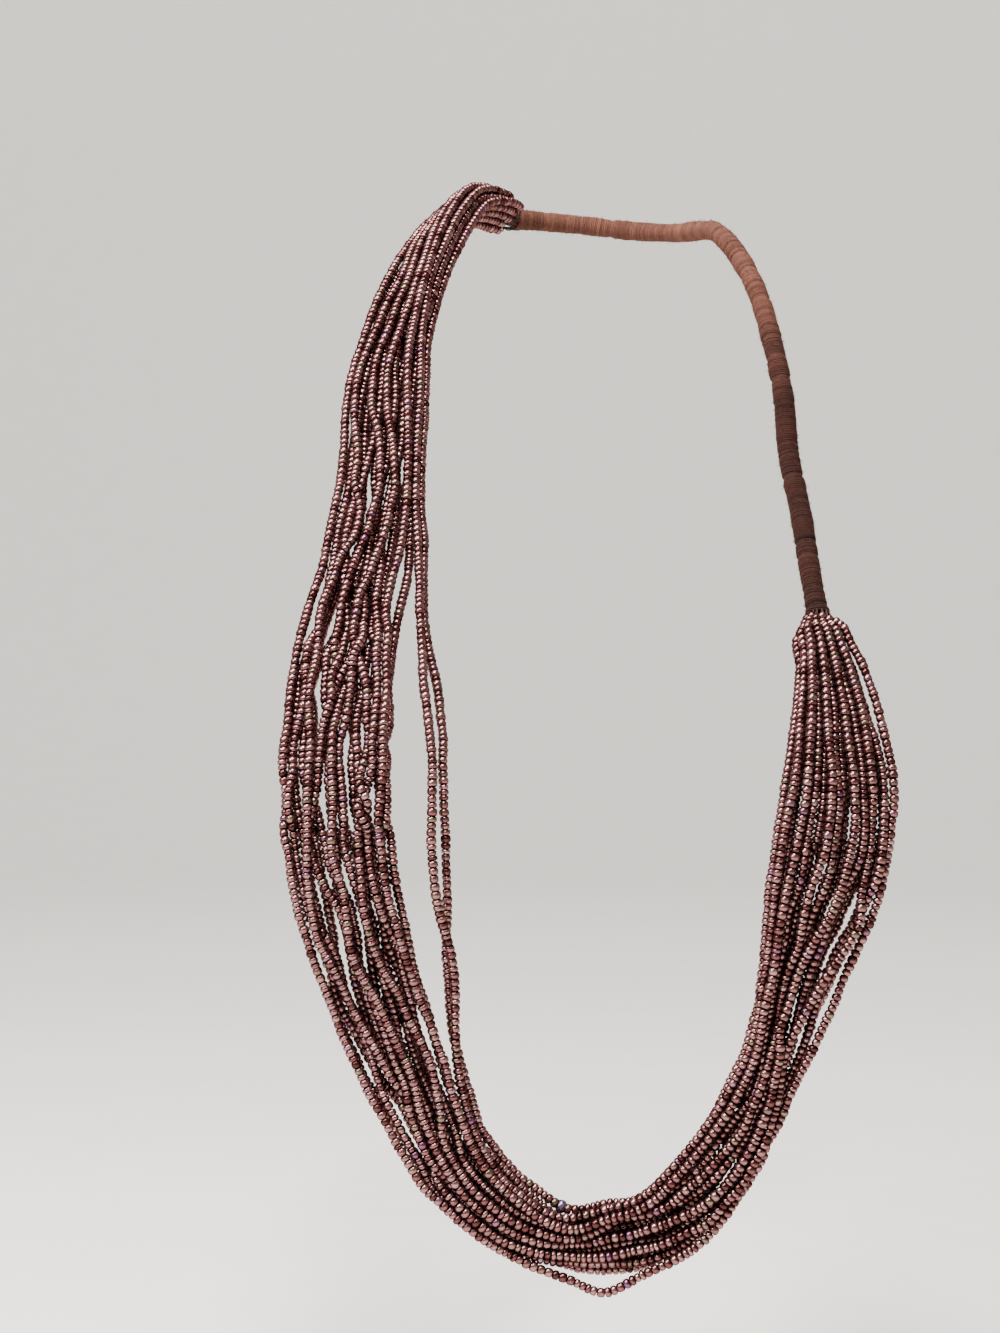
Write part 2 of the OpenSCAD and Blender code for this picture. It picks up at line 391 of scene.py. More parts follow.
# %% The cord's route
CORD_ROUTE = np.array([
    [-29.5, 50.5, 4], [-16, 57, 4], [0, 60, 3], [20, 56, 0], [38, 44, -3],
    [49, 26, -5], [53, 10, -9], [59, -7, -20], [65, -27, -38], [69, -45, -60],
    [72, -56, -82], [73, -65, -105], [76, -78, -128], [77.5, -91, -148], [79, -104, -166],
]) * MM
CORD_WIDTH = 8 * MM
CORD_FLARE = 1.2 * MM
FLARE_LENGTH = 9 * MM
ROUTE_STEPS = 40

cord_line = smooth_curve(CORD_ROUTE, ROUTE_STEPS)
cord_run = run_along(cord_line)
cord_length = cord_run[-1]
print(f"The cord is {cord_length / MM:.0f} mm long")

# %% Wind the yarn round it
YARN_WIDTH = 0.86 * MM
YARN_SIDES = 5
TURN_POINTS = 16
# From one turn to the next, and how much of that step it varies
YARN_STEP = 0.78 * MM
STEP_SPREAD = 0.07
# The winding starts and stops this far inside the cord's ends
WINDING_INSET = 0.4 * MM
# How far single turns stand proud or lie deep, and the height and length of the cord's lumps
TURN_UNEVENNESS = 0.17 * MM
LUMP_HEIGHT, LUMP_LENGTH = 0.22 * MM, 6 * MM
# What turns and slow bands add to the yarn's tone at random, what the grooves add as painted shade, and the
# length of a band
TURN_SHADE, BAND_SHADE, GROOVE_PAINTED_SHADE = 0.12, 0.1, -0.3
BAND_LENGTH = 5 * MM
CORE_INSET = 0.5 * MM
CORE_SIDES = 16
CORE_STEP = 4 * MM
GROOVE_DEPTH, GROOVE_REACH = 0.55 * MM, 0.9 * MM
# Grooves in the winding: share of the cord's length before the front gathering, extra step in millimetres
GROOVES = [
    (0.012, 0.5), (0.085, 0.5), (0.105, 0.4), (0.2, 0.45), (0.335, 0.6),
    (0.365, 0.4), (0.52, 0.5), (0.68, 0.4), (0.86, 0.5),
]


def cord_radius(distances):
    """The CAD cord's radius, which grows towards both ends."""
    rise = np.clip(1 - np.minimum(distances, cord_length - distances) / FLARE_LENGTH, 0, 1)
    return CORD_WIDTH / 2 + CORD_FLARE / 4 * (1 - np.cos(math.pi * rise))


def cord_frame(distances):
    """Middle of the cord at some distances, and two ways square to it and to each other."""
    middle = points_at(cord_line, distances)
    along = unit(np.stack(
        [np.interp(distances, cord_run, way) for way in np.gradient(cord_line, axis=0).T], axis=1
    ))
    outward = unit(np.cross(along, [0, 0, 1.0]))
    return middle, outward, np.cross(outward, along)


grooves = [(cord_length * (1 - share), width * MM) for share, width in GROOVES]
turn_starts = [WINDING_INSET]
while turn_starts[-1] < cord_length - WINDING_INSET:
    step = YARN_STEP * rng.uniform(1 - STEP_SPREAD, 1 + STEP_SPREAD)
    step += sum(width for place, width in grooves if abs(turn_starts[-1] - place) < YARN_STEP / 2)
    turn_starts.append(turn_starts[-1] + step)
turn_count = len(turn_starts) - 1
whole_turns = np.arange(turn_count + 1)
turns = np.arange(turn_count * TURN_POINTS) / TURN_POINTS
helix_run = np.interp(turns, whole_turns, turn_starts)
unevenness = TURN_UNEVENNESS * np.interp(turns, whole_turns, rng.uniform(-1, 1, turn_count + 1))
grooved = sum(np.exp(-(((helix_run - place) / GROOVE_REACH) ** 2)) for place, _ in grooves)
lumps = LUMP_HEIGHT * slow_noise(helix_run, LUMP_LENGTH)
helix_radius = cord_radius(helix_run) - YARN_WIDTH / 2 + unevenness + lumps - GROOVE_DEPTH * grooved
# Turns differ in tone at random, one from the next and in slow bands, and the grooves are painted darker as
# painted shade
turn_tones_and_groove_shade = TURN_SHADE * np.interp(turns, whole_turns, rng.uniform(-1, 1, turn_count + 1))
turn_tones_and_groove_shade += BAND_SHADE * slow_noise(helix_run, BAND_LENGTH) + GROOVE_PAINTED_SHADE * grooved
middle, outward, upward = cord_frame(helix_run)
angle = 2 * math.pi * turns[:, None]
helix = middle + helix_radius[:, None] * (np.cos(angle) * outward + np.sin(angle) * upward)
winding = grown("cord_winding", [helix], yarn, {
    "Width": YARN_WIDTH, "Sides": YARN_SIDES, "Finish": yarn_finish,
}, turn_tones_and_groove_shade)
core = grown("cord_core", [evenly(cord_line, CORE_STEP)], yarn, {
    "Width": CORD_WIDTH - 2 * CORE_INSET, "Sides": CORE_SIDES, "Finish": yarn_finish,
})
print(f"{turn_count} turns, {run_along(helix)[-1]:.1f} m of yarn")

# %% [markdown]
# Short loose fibres stand off the yarn all over. They are sown on the winding by a second small tree,
# which sets a fibre on random spots, leans it over and varies its length. Then the winding, its core and
# the fibres become one piece.

FIBRE_LENGTH = 1.3 * MM
# Real fibres are a tenth as thick, which would not show
FIBRE_WIDTH = 0.22 * MM
FIBRE_DENSITY = 0.45 / MM**2
# Shares of the length that fibres have, and how far they lean over and turn, in radians
SHORTEST, LONGEST = 0.5, 1.3
MOST_LEAN, MOST_TURN = 1.2, 3.1
FIBRE_SEED = 3


def fibre_shape():
    """A slender spike of three sides, one unit long."""
    spike = bmesh.new()
    half = FIBRE_WIDTH / FIBRE_LENGTH / 2
    turns_round = [2 * math.pi * n / 3 for n in range(3)]
    foot = [spike.verts.new((half * math.cos(t), half * math.sin(t), 0)) for t in turns_round]
    tip = spike.verts.new((0, 0, 1))
    for n in range(3):
        spike.faces.new([foot[n], foot[(n + 1) % 3], tip])
    spike.faces.new(foot[::-1])
    mesh = bpy.data.meshes.new("fibre")
    spike.to_mesh(mesh)
    spike.free()
    return mesh


def fibre_tree():
    """Fibres sown on the yarn that is handed in as an object."""
    tree, given = new_tree("fibres", [
        ("Yarn", "Object"), ("Fibre", "Object"), ("Density", "Float"), ("Length", "Float"),
        ("Seed", "Int"), ("Finish", "Material"),
    ])
    wound = add_node(tree, "GeometryNodeObjectInfo", links={"Object": given["Yarn"]})
    spots = add_node(
        tree, "GeometryNodeDistributePointsOnFaces",
        links={"Mesh": wound.outputs["Geometry"], "Density": given["Density"], "Seed": given["Seed"]},
    )
    lean = add_node(
        tree, "FunctionNodeRandomValue",
        {"Min": (-MOST_LEAN, -MOST_LEAN, -MOST_TURN), "Max": (MOST_LEAN, MOST_LEAN, MOST_TURN)},
        {"Seed": given["Seed"]}, data_type="FLOAT_VECTOR",
    )
    leaning = add_node(
        tree, "FunctionNodeRotateRotation",
        links={"Rotation": spots.outputs["Rotation"], "Rotate By": lean.outputs["Value"]},
        rotation_space="LOCAL",
    )
    share = add_node(
        tree, "FunctionNodeRandomValue", {"Min": SHORTEST, "Max": LONGEST}, {"Seed": given["Seed"]}
    )
    size = calculate(tree, "MULTIPLY", share.outputs[1], given["Length"])
    one_fibre = add_node(tree, "GeometryNodeObjectInfo", links={"Object": given["Fibre"]})
    sown = add_node(
        tree, "GeometryNodeInstanceOnPoints",
        links={
            "Points": spots.outputs["Points"], "Instance": one_fibre.outputs["Geometry"],
            "Rotation": leaning.outputs[0], "Scale": size,
        },
    )
    real = add_node(tree, "GeometryNodeRealizeInstances", links={"Geometry": sown.outputs[0]})
    dyed = add_node(
        tree, "GeometryNodeSetMaterial", links={"Geometry": real.outputs[0], "Material": given["Finish"]}
    )
    add_node(tree, "NodeGroupOutput", links={"Geometry": dyed.outputs[0]})
    return tree


def joined(name, pieces):
    """Several mesh objects made into one."""
    whole = bmesh.new()
    for piece in pieces:
        whole.from_mesh(piece.data)
    mesh = bpy.data.meshes.new(name)
    whole.to_mesh(mesh)
    whole.free()
    mesh.materials.append(pieces[0].data.materials[0])
    for piece in pieces:
        bpy.data.objects.remove(piece)
    return add_object(name, mesh)


fibre = add_object("fibre_shape", fibre_shape())
# The tree takes the winding as an object, so the line that it is run on can be any short one
fuzz = grown("cord_fuzz", [helix[:2]], fibre_tree(), {
    "Yarn": winding, "Fibre": fibre, "Density": FIBRE_DENSITY, "Length": FIBRE_LENGTH,
    "Seed": FIBRE_SEED, "Finish": yarn_finish,
})
bpy.data.objects.remove(fibre)
cord = joined("wound_neck_cord", [winding, core, fuzz])
hand_over(cord, "cord", "neck_cord")
print(f"{len(cord.data.polygons)} faces in the cord")

# %% [markdown]
# ## Studio
# The necklace is shown alone in a plain studio. A wide pale bowl makes the floor and, far behind,
# the walls, with no edge between them, so that every view has the same calm ground. The light is soft:
# one panel from the front left and one from above give each bead its broad highlights and leave it a
# dark underside, and a third one lights the background.

# %% Bowl-shaped floor
def matte_paint():
    """Matte paint, rolled on: a pale tone with a trace of roller marks that throws soft light back."""
    material, tree, surface, place = start_material("matte_studio_paint")
    # Roller marks, 30 mm across, only a shade apart
    marks = add_node(tree, "ShaderNodeTexNoise", {"Scale": 1 / (30 * MM), "Detail": 3.0}, {"Vector": place})
    tree.links.new(
        add_ramp(tree, marks.outputs["Fac"], [(0.3, "e6e3de"), (0.7, "e9e6e1")]), surface.inputs["Base Color"]
    )
    surface.inputs["Roughness"].default_value = 0.95
    return material


FLOOR_GAP = 45 * MM
BOWL_RADIUS, BOWL_BEND, BOWL_HEIGHT = 3.4, 1.2, 3.2
BOWL_SIDES, BEND_STEPS = 96, 16

floor_z = cad_box[0][2] - FLOOR_GAP
profile = [(BOWL_RADIUS - BOWL_BEND, floor_z)]
for step in range(1, BEND_STEPS + 1):
    turn = math.pi / 2 * step / BEND_STEPS
    profile.append((
        BOWL_RADIUS - BOWL_BEND + BOWL_BEND * math.sin(turn), floor_z + BOWL_BEND * (1 - math.cos(turn))
    ))
profile.append((BOWL_RADIUS, floor_z + BOWL_HEIGHT))

bowl = bmesh.new()
hoops = []
for radius, height in profile:
    turns_round = [2 * math.pi * side / BOWL_SIDES for side in range(BOWL_SIDES)]
    hoops.append([bowl.verts.new((radius * math.cos(t), radius * math.sin(t), height)) for t in turns_round])
bowl.faces.new(hoops[0])
for lower, upper in zip(hoops, hoops[1:]):
    for side in range(BOWL_SIDES):
        after = (side + 1) % BOWL_SIDES
        bowl.faces.new([lower[side], upper[side], upper[after], lower[after]]).smooth = True
bowl_mesh = bpy.data.meshes.new("studio_bowl")
bowl.to_mesh(bowl_mesh)
bowl.free()
bowl_mesh.materials.append(matte_paint())
add_object("studio_bowl", bowl_mesh)
print(f"Floor {FLOOR_GAP / MM:.0f} mm under the CAD model")

# %% Soft lights
def add_panel(name, place, aim, size, power, tone):
    """A square panel light that faces a point."""
    lamp = bpy.data.lights.new(name, "AREA")
    lamp.shape, lamp.size, lamp.energy = "SQUARE", size, power
    lamp.color = linear(tone)[:3]
    panel = bpy.data.objects.new(name, lamp)
    bpy.context.scene.collection.objects.link(panel)
    panel.location = place
    panel.rotation_euler = (Vector(aim) - Vector(place)).to_track_quat("-Z", "Y").to_euler()


# Name, place, aim, size in metres, power in watts and tone
PANELS = [
    ("key_panel", (-0.78, -0.68, 0.45), (0, -0.08, -0.2), 0.4, 23, "fffdfb"),
    ("top_panel", (-0.15, -0.55, 0.9), (0, -0.13, -0.35), 0.45, 46, "fff8f0"),
    ("backdrop_panel", (0, 0.9, 2.4), (0, 2.6, 0.2), 1.6, 90, "ffffff"),
]
SKY_TONE = "e8e9ec"
SKY_STRENGTH = 0.05

for settings in PANELS:
    add_panel(*settings)

world = bpy.data.worlds.new("studio_air")
world.use_nodes = True
sky = world.node_tree.nodes["Background"]
sky.inputs["Color"].default_value = linear(SKY_TONE)
sky.inputs["Strength"].default_value = SKY_STRENGTH
bpy.context.scene.world = world
print(f"{len(PANELS)} panels and an even sky")

# %% [markdown]
# ## Finish of the beads
# The beads are opaque drawn glass with a baked metal lustre: dusky rose-brown, with some darker,
# some bronze and some plum ones from the same batch. The lustre gives a broad coloured highlight, so
# the surface is mostly metallic and satin. Every bead carries its own number from the Geometry Nodes
# tree, and a colour ramp turns that number into its tint.

# %% Lustred glass
BEAD_TONES = [
    (0.00, "4a2c2c"), (0.12, "6b4445"), (0.35, "865d5e"), (0.62, "926969"),
    (0.86, "9f7575"), (0.93, "7c6959"), (0.96, "7a4e67"), (1.00, "b88f8f"),
]
ODD_BEAD_TONE = "867a98"
# Dark of the painted shade at both ends of each bead, where it meets its neighbours
END_PAINTED_SHADE_TONE = "200b09"
CLOUD_SHARE = 0.2
# Roughness where the lustre is smoothest and where it is roughest
SMOOTHEST, ROUGHEST = 0.18, 0.34


def lustred_glass():
    """Drawn glass, fired with a thin metal lustre: a satin skin that is never quite even."""
    material, tree, surface, place = start_material("lustred_drawn_glass")
    tint = add_node(tree, "ShaderNodeAttribute", attribute_name="bead_tint").outputs["Fac"]
    odd = add_node(tree, "ShaderNodeAttribute", attribute_name="bead_odd").outputs["Fac"]
    tone = add_ramp(tree, tint, BEAD_TONES)
    # Clouds in the lustre, 1.5 mm across
    clouds = add_node(tree, "ShaderNodeTexNoise", {"Scale": 1 / (1.5 * MM), "Detail": 2.0}, {"Vector": place})
    cloudy = add_node(
        tree, "ShaderNodeMix", {0: CLOUD_SHARE}, {6: tone, 7: clouds.outputs["Color"]},
        data_type="RGBA", blend_type="SOFT_LIGHT",
    )
    final = add_node(
        tree, "ShaderNodeMix", {7: linear(ODD_BEAD_TONE)}, {0: odd, 6: cloudy.outputs[2]}, data_type="RGBA"
    )
    # Painted shade: each bead goes dark towards both ends, in the gaps where it meets its neighbours
    end_painted_shade = add_node(tree, "ShaderNodeAttribute", attribute_name="bead_mouth").outputs["Fac"]
    final = add_node(
        tree, "ShaderNodeMix", {7: linear(END_PAINTED_SHADE_TONE)}, {0: end_painted_shade, 6: final.outputs[2]}, data_type="RGBA"
    )
    satin = add_node(
        tree, "ShaderNodeMapRange", {"To Min": SMOOTHEST, "To Max": ROUGHEST},
        {"Value": clouds.outputs["Fac"]},
    )
    # Orange peel of the fired skin, 0.4 mm across
    peel = add_node(tree, "ShaderNodeTexNoise", {"Scale": 1 / (0.4 * MM)}, {"Vector": place})
    tree.links.new(final.outputs[2], surface.inputs["Base Color"])
    tree.links.new(satin.outputs["Result"], surface.inputs["Roughness"])
    add_bump(tree, surface, peel.outputs["Fac"], 0.05 * MM, 0.25)
    surface.inputs["Metallic"].default_value = 0.93
    # At a slant the thin film reflects little and only its dark red
    surface.inputs["Specular Tint"].default_value = linear("3a1512")
    return material


bead_finish = lustred_glass()
print(f"{len(BEAD_TONES)} tints in one batch of beads")

# %% [markdown]
# ## One seed bead
# A seed bead is a short slice of drawn glass tube, tumbled in heat until its edges round off. Five rings of
# ten corners carry the round wall, and a dimple at each end is the mouth of the hole, which the
# thread fills. Smooth shading rounds the rest, and thousands of them stay light. The bead is made one
# unit wide and long, and the tree below gives each copy its own size.

# %% Bead mesh
BEAD_SIDES = 10
# Radius, height and how much painted shade the ring takes, most at both ends where beads meet
BEAD_PROFILE = [
    (0.30, 0.49, 1.0), (0.445, 0.355, 0.42), (0.5, 0.0, 0.0), (0.445, -0.355, 0.42), (0.30, -0.49, 1.0),
]
DIMPLE_HEIGHT = 0.34


def seed_bead():
    """A round bead, one unit across and one unit long, with its hole along Z."""
    glass = bmesh.new()
    turns_round = [2 * math.pi * side / BEAD_SIDES for side in range(BEAD_SIDES)]
    # Each corner carries how much painted shade it takes: most at both ends of the bead, none round its
    # middle
    bare_thread_and_painted_shade = glass.verts.layers.float.new("bead_mouth")
    loops = []
    for radius, height, painted_shade_share in BEAD_PROFILE:
        loops.append([
            glass.verts.new((radius * math.cos(t), radius * math.sin(t), height)) for t in turns_round
        ])
        for corner in loops[-1]:
            corner[bare_thread_and_painted_shade] = painted_shade_share
    top = glass.verts.new((0, 0, DIMPLE_HEIGHT))
    bottom = glass.verts.new((0, 0, -DIMPLE_HEIGHT))
    top[bare_thread_and_painted_shade] = bottom[bare_thread_and_painted_shade] = 1.0
    for side in range(BEAD_SIDES):
        after = (side + 1) % BEAD_SIDES
        for first, second in zip(loops, loops[1:]):
            glass.faces.new([first[side], second[side], second[after], first[after]])
        glass.faces.new([top, loops[0][side], loops[0][after]])
        glass.faces.new([bottom, loops[-1][after], loops[-1][side]])
    for face in glass.faces:
        face.smooth = True
    mesh = bpy.data.meshes.new("seed_bead")
    glass.to_mesh(mesh)
    glass.free()
    return mesh


bead_shape = add_object("seed_bead_shape", seed_bead())
print(f"One bead has {len(bead_shape.data.polygons)} faces")

# %% [markdown]
# ## A beaded strand as a Geometry Nodes tree
# A bead stringer picks beads at random and pushes each against the last one. The tree does the same.
# It draws a length for each bead, adds the lengths up to know where each bead sits on the thread, and
# sets it there with a width and a lean of its own. It stores two numbers on each bead, its tint and
# whether it is the odd one, and lays the thread through them all, bare near both gatherings.

# %% Build the stringing tree
STRING_INPUTS = [
    ("Bead", "Object"), ("Bead Length", "Float"), ("Bead Width", "Float"),
    ("Length Unevenness", "Float"), ("Width Unevenness", "Float"), ("Lean", "Float"),
    ("Bare Start", "Float"), ("Bare End", "Float"),
    ("Odd Bead Place", "Vector"), ("Odd Bead Reach", "Float"), ("Odd Bead Growth", "Float"),
    ("Thread Width", "Float"), ("Seed", "Int"), ("Bead Finish", "Material"), ("Thread Finish", "Material"),
]
# The tree makes this many times the beads that the thread can hold, and takes the last ones off again
SPARE_SHARE = 1.1
THREAD_SIDES = 5


def stringing_tree():
    """Beads pushed one against the next along every line, and the thread that runs through them."""
    tree, given = new_tree("stringing", STRING_INPUTS)
    line = add_node(tree, "GeometryNodeMeshToCurve", links={"Mesh": given["Geometry"]}).outputs[0]
    whole = add_node(tree, "GeometryNodeCurveLength", links={"Curve": line}).outputs["Length"]

    def chance(offset):
        """A random number from -1 to 1 for each bead, another one for every offset."""
        seed = calculate(tree, "ADD", given["Seed"], offset)
        return add_node(tree, "FunctionNodeRandomValue", {2: -1.0, 3: 1.0}, {"Seed": seed}).outputs[1]

    def varied(size, unevenness, offset):
        """The size of each bead, a little over or under the usual one."""
        share = calculate(tree, "MULTIPLY_ADD", chance(offset), unevenness, 1.0)
        return calculate(tree, "MULTIPLY", size, share)

    # More beads than the thread can hold, each with its length and its place on the thread
    held = calculate(tree, "DIVIDE", whole, given["Bead Length"])
    count = calculate(tree, "MULTIPLY", held, SPARE_SHARE)
    beads = add_node(tree, "GeometryNodePoints", links={"Count": count}).outputs[0]
    bead_length = varied(given["Bead Length"], given["Length Unevenness"], 1)
    stacked = add_node(tree, "GeometryNodeAccumulateField", links={0: bead_length}).outputs["Trailing"]
    centre = calculate(tree, "MULTIPLY_ADD", bead_length, 0.5, stacked)
    spot = calculate(tree, "ADD", given["Bare Start"], centre)
    for name, value in (("bead_length", bead_length), ("bead_spot", spot)):
        beads = add_node(
            tree, "GeometryNodeStoreNamedAttribute", {"Name": name}, {"Geometry": beads, "Value": value}
        ).outputs[0]
    kept_length = add_node(tree, "GeometryNodeInputNamedAttribute", {"Name": "bead_length"}).outputs[0]
    kept_spot = add_node(tree, "GeometryNodeInputNamedAttribute", {"Name": "bead_spot"}).outputs[0]
    last_spot = calculate(
        tree, "SUBTRACT", calculate(tree, "SUBTRACT", whole, given["Bare End"]),
        calculate(tree, "MULTIPLY", kept_length, 0.5),
    )
    too_far = calculate(tree, "GREATER_THAN", kept_spot, last_spot)
    beads = add_node(
        tree, "GeometryNodeDeleteGeometry", links={"Geometry": beads, "Selection": too_far}
    ).outputs[0]
    thread_there = add_node(
        tree, "GeometryNodeSampleCurve", links={"Curves": line, "Length": kept_spot}, mode="LENGTH"
    )
    beads = add_node(
        tree, "GeometryNodeSetPosition",
        links={"Geometry": beads, "Position": thread_there.outputs["Position"]},
    ).outputs[0]
    # The beads turn along the thread, lean a little and take their widths
    along = add_node(
        tree, "FunctionNodeAlignRotationToVector", links={"Vector": thread_there.outputs["Tangent"]}, axis="Z"
    )
    lean_back = calculate(tree, "MULTIPLY", given["Lean"], -1.0)
    lean = add_node(
        tree, "FunctionNodeRandomValue", links={0: lean_back, 1: given["Lean"], "Seed": given["Seed"]},
        data_type="FLOAT_VECTOR",
    )
    turned = add_node(
        tree, "FunctionNodeRotateRotation",
        links={"Rotation": along.outputs[0], "Rotate By": lean.outputs[0]}, rotation_space="LOCAL",
    )
    width = varied(given["Bead Width"], given["Width Unevenness"], 2)
    size = add_node(tree, "ShaderNodeCombineXYZ", links={"X": width, "Y": width, "Z": kept_length})
    bead = add_node(tree, "GeometryNodeObjectInfo", links={"Object": given["Bead"]})
    strung = add_node(
        tree, "GeometryNodeInstanceOnPoints",
        links={
            "Points": beads, "Instance": bead.outputs["Geometry"], "Rotation": turned.outputs[0],
            "Scale": size.outputs[0],
        },
    ).outputs[0]
    here = add_node(tree, "GeometryNodeInputPosition").outputs[0]
    away = add_node(
        tree, "ShaderNodeVectorMath", links={0: here, 1: given["Odd Bead Place"]}, operation="DISTANCE"
    )
    is_odd = calculate(tree, "LESS_THAN", away.outputs["Value"], given["Odd Bead Reach"])
    tint = calculate(tree, "MULTIPLY_ADD", chance(3), 0.5, 0.5)
    for name, value in (("bead_tint", tint), ("bead_odd", is_odd)):
        strung = add_node(
            tree, "GeometryNodeStoreNamedAttribute", {"Name": name}, {"Geometry": strung, "Value": value},
            domain="INSTANCE",
        ).outputs[0]
    strung = add_node(
        tree, "GeometryNodeScaleInstances",
        links={"Instances": strung, "Selection": is_odd, "Scale": given["Odd Bead Growth"]},
    ).outputs[0]
    # The thread runs the whole way
    ring = add_node(
        tree, "GeometryNodeCurvePrimitiveCircle", {"Resolution": THREAD_SIDES},
        {"Radius": calculate(tree, "MULTIPLY", given["Thread Width"], 0.5)},
    )
    thread = add_node(
        tree, "GeometryNodeCurveToMesh", {"Fill Caps": True},
        {"Curve": line, "Profile Curve": ring.outputs[0]},
    ).outputs[0]
    waxed = add_node(
        tree, "GeometryNodeSetMaterial", links={"Geometry": thread, "Material": given["Thread Finish"]}
    ).outputs[0]
    strung = add_node(tree, "GeometryNodeRealizeInstances", links={"Geometry": strung}).outputs[0]
    glazed = add_node(
        tree, "GeometryNodeSetMaterial", links={"Geometry": strung, "Material": given["Bead Finish"]}
    ).outputs[0]
    both = add_node(tree, "GeometryNodeJoinGeometry", links={"Geometry": waxed})
    tree.links.new(glazed, both.inputs["Geometry"])
    add_node(tree, "NodeGroupOutput", links={"Geometry": both.outputs[0]})
    return tree


stringing = stringing_tree()
print(f"The stringing tree has {len(stringing.nodes)} nodes")

# %% [markdown]
# ## Where the threads run
# A bead has to know where its thread runs. The CAD tube of each strand is a stack of eight-sided rings,
# so the middles of its rings are points on the thread. They are found by walking from ring to ring over
# the tube's edges, starting at the end that lies at the back gathering.

# %% Read the threads from the strands' tubes
STRAND_SIDES = 8


def middle_of(node_name):
    """Middle of a CAD node's box."""
    low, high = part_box(node_name)
    return (Vector(low) + Vector(high)) / 2


def ring_middles(node_name, start):
    """Middles of a tube's rings, in order from the end that is nearest to start."""
    tube = bmesh.new()
    tube.from_mesh(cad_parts[node_name].data)
    bmesh.ops.remove_doubles(tube, verts=tube.verts, dist=0.01 * MM)
    ring = sorted(tube.verts, key=lambda corner: (corner.co - start).length)[:1]
    ring = sorted(tube.verts, key=lambda corner: (corner.co - ring[0].co).length)[:STRAND_SIDES]
    seen, middles = set(ring), []
    while ring:
        middles.append(sum((corner.co for corner in ring), Vector()) / len(ring))
        ring = list({edge.other_vert(corner) for corner in ring for edge in corner.link_edges} - seen)
        seen.update(ring)
    tube.free()
    return np.array(middles)


back_end = middle_of("gather_back")
threads = [ring_middles(name, back_end) for name in STRANDS]
print("Rings in each strand:", {len(places) for places in threads})

# %% [markdown]
# Where the strands are gathered, the threads pull them together, closer than their tubes, so that the
# bundle comes out of the cord as a cone.

# %% Draw the ends of the bundle together
LINE_STEPS = 9
# How far from the ends the pull is felt, and the share of the bundle's width that it takes there
PULL_REACH = 20 * MM
PULL_SHARE = 0.28


def drawn_together(lines):
    """The strands' lines with both ends of the bundle pulled towards its middle."""
    middles = np.mean(lines, axis=0)
    pulled = []
    for line in lines:
        run = run_along(line)
        near = np.clip(1 - np.minimum(run, run[-1] - run) / PULL_REACH, 0, 1)
        ease = (near * near * (3 - 2 * near))[:, None]
        pulled.append(line + (middles - line) * ease * PULL_SHARE)
    return pulled


# All tubes have as many rings, so the same step lies at the same place on every strand
homes = drawn_together([smooth_curve(places, LINE_STEPS) for places in threads])
print(f"{len(homes[0])} points on every line")

# %% [markdown]
# At both ends the threads run on from the bundle into the end of the cord, where the winding holds
# them. The outer ones come in at its rim and the inner ones nearer its middle.

# %% Lead the threads into the cord
# Half the bundle's width and half its thickness at the ends, once drawn together
BUNDLE_HALF = np.array([9.0, 4.7]) * MM * (1 - PULL_SHARE)
# How near to the cord's rim the outermost threads come in
RIM_SHARE = 0.92
LEAD_STEPS = 8


def lead_in(starts, ways, cord_end, cord_way, cord_r):
    """A bend for each strand from its end into the cord, and how far out it sits in the bundle."""
    centre, way = starts.mean(axis=0), unit(ways.mean(axis=0))
    offsets = starts - centre
    offsets -= (offsets @ way)[:, None] * way
    # The bundle's wide direction and the one square to it
    wide = np.linalg.svd(offsets, full_matrices=False)[2][0]
    thick = np.cross(way, wide)
    place = np.stack([offsets @ wide, offsets @ thick], axis=1) / BUNDLE_HALF
    outness = np.minimum(np.linalg.norm(place, axis=1), 1.0)
    spread = unit(place) * outness[:, None] * RIM_SHARE * cord_r
    ends = cord_end + spread[:, :1] * wide + spread[:, 1:] * thick
    bends = [
        bridge(start, way_out, end, cord_way, LEAD_STEPS)
        for start, way_out, end in zip(starts, unit(ways), ends)
    ]
    return bends, outness


front_ends = np.array([line[-1] for line in homes])
front_ways = np.array([line[-1] - line[-2] for line in homes])
back_ends = np.array([line[0] for line in homes])
back_ways = np.array([line[0] - line[1] for line in homes])
cord_r = (CORD_WIDTH + CORD_FLARE) / 2
front_bends, front_outness = lead_in(
    front_ends, front_ways, CORD_ROUTE[-1], unit(CORD_ROUTE[-2] - CORD_ROUTE[-1]), cord_r
)
back_bends, back_outness = lead_in(
    back_ends, back_ways, CORD_ROUTE[0], unit(CORD_ROUTE[1] - CORD_ROUTE[0]), cord_r
)
print("Threads led in at both ends")

# %% [markdown]
# ## Swaying and settling
# Strands of a worn necklace sway, cross their neighbours at shallow angles and lie on each other. The
# strands lie in four levels, and each level swings across the bundle in a slow wave of its own, which
# makes the crossings. On top of that each strand gets sways from a fixed seed. Then all of them settle
# together: wherever two come closer than a bead's width they push each other apart, while each is
# drawn back a little. That leaves the strands lying on each other, with hardly a bead inside another and
# no strand far from its CAD tube. The lowest strand hangs in a loose bow of its own.

# %% Swing, sway and settle
BEAD_LENGTH = 2.25 * MM
BEAD_WIDTH = 3.6 * MM
# Length and height of each level's wave, and where it starts as a share of a turn
LEVEL_SWINGS = [
    (110 * MM, 4.2 * MM, 0.96), (140 * MM, 3.6 * MM, 0.15),
    (125 * MM, 3.8 * MM, 0.55), (160 * MM, 3.4 * MM, 0.8),
]
SWAYS = [(75 * MM, 1.8 * MM), (38 * MM, 1.3 * MM), (17 * MM, 0.5 * MM)]
# How freely a strand moves, as pairs of a share of its length and a share of its sways
SLACK = [(0, 0), (0.05, 0.3), (0.2, 0.4), (0.36, 1), (0.86, 1), (0.95, 0.5), (1, 0)]
